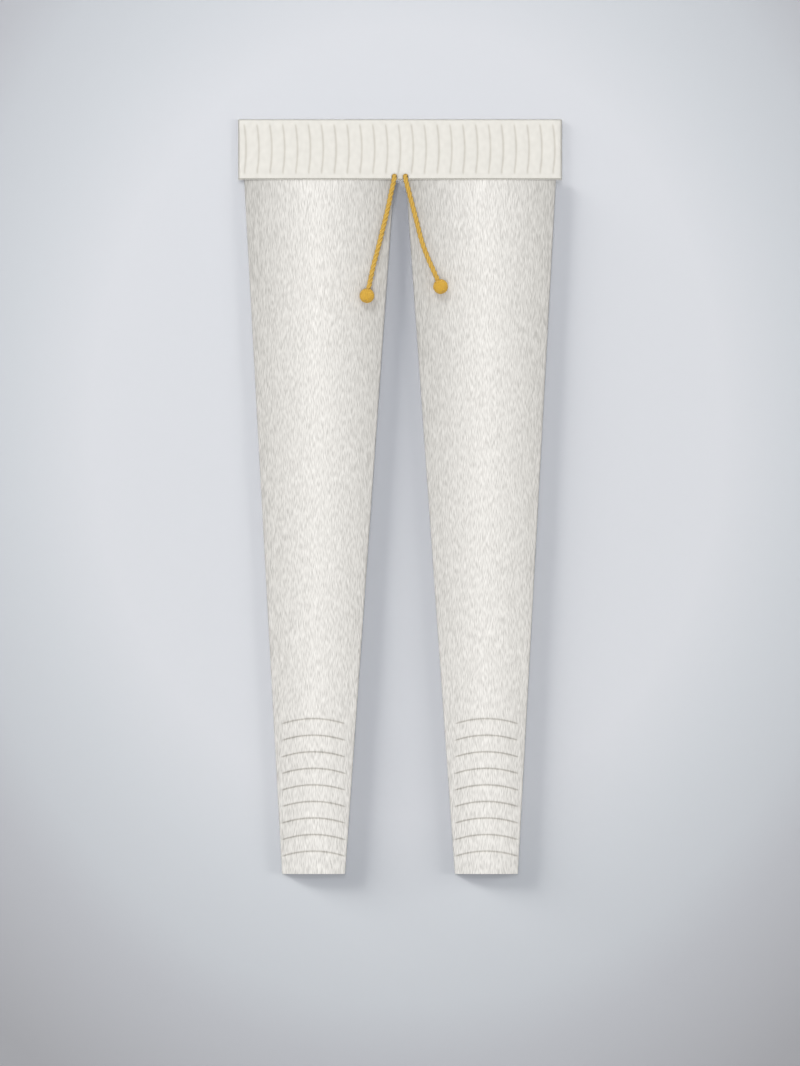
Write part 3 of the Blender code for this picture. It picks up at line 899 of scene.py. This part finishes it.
def smooth_route(route, step):
    """Points of a smooth curve through the route, about one step apart."""
    points = [Vector(point) for point in route]
    points = [2 * points[0] - points[1], *points, 2 * points[-1] - points[-2]]
    found = []
    for before, start, end, after in zip(points, points[1:], points[2:], points[3:]):
        pieces = max(1, round((end - start).length / step))
        leave, arrive = (end - before) / 2, (after - start) / 2
        for i in range(pieces):
            t = i / pieces
            found.append(
                (2 * t**3 - 3 * t**2 + 1) * start
                + (t**3 - 2 * t**2 + t) * leave
                + (3 * t**2 - 2 * t**3) * end
                + (t**3 - t**2) * arrive
            )
    return found + [points[-2]]


def crossways(centres):
    """Each centre of a line, how far along it is, and two directions square to the line there."""
    normal = Vector((0, 0, 1))
    along = 0.0
    for i, centre in enumerate(centres):
        tangent = (centres[min(i + 1, len(centres) - 1)] - centres[max(i - 1, 0)]).normalized()
        normal = (normal - tangent * normal.dot(tangent)).normalized()
        if i:
            along += (centre - centres[i - 1]).length
        yield centre, along, normal, tangent.cross(normal)


def tube(centres, radius, sides):
    """Points, faces and thread coordinates of a closed tube along these centres."""
    points, faces, threads = [], [], []
    for centre, along, normal, side in crossways(centres):
        for k in range(sides):
            angle = 2 * math.pi * k / sides
            points.append(centre + radius * (math.cos(angle) * normal + math.sin(angle) * side))
            threads.append((k / sides * 2 * math.pi * radius, along))
    for i in range(len(centres) - 1):
        for k in range(sides):
            a, b = i * sides + k, i * sides + (k + 1) % sides
            faces.append((a, b, b + sides, a + sides))
    faces.append(tuple(range(sides))[::-1])
    start = (len(centres) - 1) * sides
    faces.append(tuple(start + k for k in range(sides)))
    return points, faces, threads


def thread_mesh(name, parts, material):
    """One mesh of several closed shapes, with their thread coordinates as a UV map."""
    points, faces, threads = [], [], []
    for part_points, part_faces, part_threads in parts:
        faces += [tuple(index + len(points) for index in face) for face in part_faces]
        points += [tuple(point) for point in part_points]
        threads += part_threads
    mesh = bpy.data.meshes.new(name)
    mesh.from_pydata(points, [], faces)
    layer = mesh.uv_layers.new(name="thread")
    for loop in mesh.loops:
        layer.data[loop.index].uv = threads[loop.vertex_index]
    mesh.materials.append(material)
    mesh.shade_smooth()
    mesh.set_sharp_from_angle(angle=SHARP_IN_THREAD)
    return link(bpy.data.objects.new(name, mesh))


def twisted_strands(centres):
    """The centrelines of the cord's strands, each wound round the cord's own."""
    radius = CORD_DIAMETER / 2 * (1 - STRAND_SHARE)
    strands = [[] for _ in range(STRANDS)]
    for centre, along, normal, side in crossways(centres):
        for k, strand in enumerate(strands):
            angle = 2 * math.pi * (along / STRAND_PITCH + k / STRANDS)
            strand.append(centre + radius * (math.cos(angle) * normal + math.sin(angle) * side))
    return strands


def wound_ball(name, centre, towards_cord, material):
    """A ball wound in thread that lies side by side from pole to pole, with a dimple at each pole. One
    pole takes the cord."""
    columns = WINDINGS * WINDING_STEPS
    turn = towards_cord.to_track_quat("Z", "Y").to_matrix()
    points, threads = [], []
    radius = BALL_DIAMETER / 2
    for j in range(1, BALL_RINGS):
        polar = math.pi * j / BALL_RINGS
        from_pole = min(polar, math.pi - polar)
        dimple = 1 - BALL_DIMPLE * math.exp(-((from_pole / BALL_DIMPLE_SPREAD) ** 2))
        for i in range(columns):
            azimuth = 2 * math.pi * i / columns
            ridge = abs(math.sin(0.5 * (WINDINGS * azimuth + WINDING_TWIST * math.cos(polar))))
            depth = WINDING_GROOVE * (1 - ridge) * math.sin(polar) ** 0.5
            length = radius * dimple - depth
            outward = Vector((
                math.sin(polar) * math.cos(azimuth), math.sin(polar) * math.sin(azimuth), math.cos(polar),
            ))
            points.append(turn @ (length * outward) + centre)
            threads.append((azimuth * radius, polar * radius))
    faces = []
    for j in range(BALL_RINGS - 2):
        for i in range(columns):
            a, b = j * columns + i, j * columns + (i + 1) % columns
            faces.append((a, a + columns, b + columns, b))
    faces.append(tuple(range(columns)))
    faces.append(tuple((BALL_RINGS - 2) * columns + i for i in range(columns))[::-1])
    return thread_mesh(name, [(points, faces, threads)], material)


def build_drawstring(cord, cord_thread, ball_thread):
    ball_centre = Vector(cord.ball)
    end = Vector(cord.route[-1])
    seat = end + (ball_centre - end) * BALL_SEAT
    centres = smooth_route((cord.hidden, *cord.route, seat), CORD_STEP)
    radius = CORD_DIAMETER / 2 * STRAND_SHARE
    parts = [tube(strand, radius, STRAND_SIDES) for strand in twisted_strands(centres)]
    piece = thread_mesh(f"{cord.side}_drawstring_cord", parts, cord_thread)
    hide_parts(f"{cord.side}_drawstring")
    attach(piece, "root")
    ball = wound_ball(f"{cord.side}_drawstring_winding", ball_centre, end - ball_centre, ball_thread)
    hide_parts(f"{cord.side}_drawstring_ball")
    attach(ball, "root")


# Camera, floor and light


def build_camera():
    """Straight above the pants, at the height that makes each pixel METRES_PER_PIXEL wide."""
    camera = link(bpy.data.objects.new("camera", bpy.data.cameras.new("camera")))
    camera.data.lens = CAMERA_LENS
    camera.data.sensor_fit = "VERTICAL"
    camera.data.sensor_height = SENSOR
    view_height = FRAME_ROWS * METRES_PER_PIXEL
    middle_y = WAIST_Y - (FRAME_ROWS / 2 - WAIST_ROW) * METRES_PER_PIXEL
    camera.location = (0.0, middle_y, CLOTH_HEIGHT + view_height * CAMERA_LENS / SENSOR)
    camera.data.clip_end = CAMERA_REACH
    bpy.context.scene.camera = camera
    return middle_y


def build_floor():
    mesh = bpy.data.meshes.new("backdrop_floor")
    corners = [(x * FLOOR_HALF, y * FLOOR_HALF, 0) for x, y in ((-1, -1), (1, -1), (1, 1), (-1, 1))]
    mesh.from_pydata(corners, [], [(0, 1, 2, 3)])
    mesh.materials.append(paper_with_painted_light_pool())
    floor = link(bpy.data.objects.new("backdrop_floor", mesh))
    return floor


def build_light(name, kind, towards, power, middle_y, **settings):
    """A light at this place from the middle of the view, facing it."""
    light = bpy.data.lights.new(name, kind)
    light.energy = power
    for key, value in settings.items():
        setattr(light, key, value)
    lamp = link(bpy.data.objects.new(name, light))
    lamp.location = Vector(towards) + Vector((0.0, middle_y, 0.0))
    lamp.rotation_euler = Vector(towards).to_track_quat("Z", "Y").to_euler()
    return lamp


def build_lights(middle_y):
    """Soft light from all round, a large softbox overhead and one beyond the waist."""
    world = bpy.data.worlds.new("studio")
    world.use_nodes = True
    background = world.node_tree.nodes["Background"]
    background.inputs["Color"].default_value = WORLD_COLOUR
    background.inputs["Strength"].default_value = WORLD_STRENGTH
    bpy.context.scene.world = world
    for box in SOFTBOXES:
        build_light(box.name, "AREA", box.towards, box.power, middle_y, shape="DISK", size=box.width)
    bpy.context.scene.view_settings.view_transform = "Standard"


def build_floor_lights(middle_y, floor, band, left_leg, right_leg):
    """Low, broad suns that fall on the floor alone, so the shadow is wide and soft but the cloth
    isn't raked. The band's front lies higher than the rest and would throw too long a shadow, so it
    shades none of them. The last two are each shaded by one leg, and so the shadow is deepest
    between the legs."""
    both_legs = left_leg + right_leg
    shading = {
        "legs": both_legs,
        "legs, band back": both_legs + band[1:],
        "right leg": right_leg,
        "left leg": left_leg,
    }
    lit = bpy.data.collections.new("lit_by_floor_lights")
    lit.objects.link(floor)
    for sun in LOW_SUNS:
        lamp = build_light(sun.name, "SUN", sun.towards, sun.power, middle_y, angle=LOW_SUN_ANGLE)
        lamp.data.color = LOW_SUN_COLOUR
        lamp.light_linking.receiver_collection = lit
        blockers = bpy.data.collections.new(f"{sun.name}_shading")
        for piece in shading[sun.shaded_by]:
            blockers.objects.link(piece)
        lamp.light_linking.blocker_collection = blockers


view_middle_y = build_camera()
floor = build_floor()
build_lights(view_middle_y)
leg_cloth = slub_cotton_silk()
band_cloth = plain_cotton_silk()
cord_thread = twisted_cotton("mustard_cotton_cord", CORD_BASE, CORD_FIBRE_SHADE, roughness=0.6)
ball_thread = twisted_cotton("mustard_wound_thread", BALL_BASE, BALL_FIBRE_SHADE, roughness=0.5)
edge_thread = sewing_thread("grey_overcasting_thread", EDGE_THREAD, EDGE_THREAD_DEEP)
cream_thread = sewing_thread("cream_sewing_thread", CREAM_THREAD, CREAM_THREAD_DEEP)
for cord in CORDS:
    build_drawstring(cord, cord_thread, ball_thread)
band = build_waistband(band_cloth)
rows_of_stitches = stitch_tree()
build_band_stitches(rows_of_stitches, edge_thread, cream_thread)
left_leg = build_leg("left", 1, leg_cloth)
right_leg = build_leg("right", -1, leg_cloth)
for name, side in (("left", 1), ("right", -1)):
    build_hem_stitches(name, side, rows_of_stitches, cream_thread)
build_floor_lights(view_middle_y, floor, band, left_leg, right_leg)
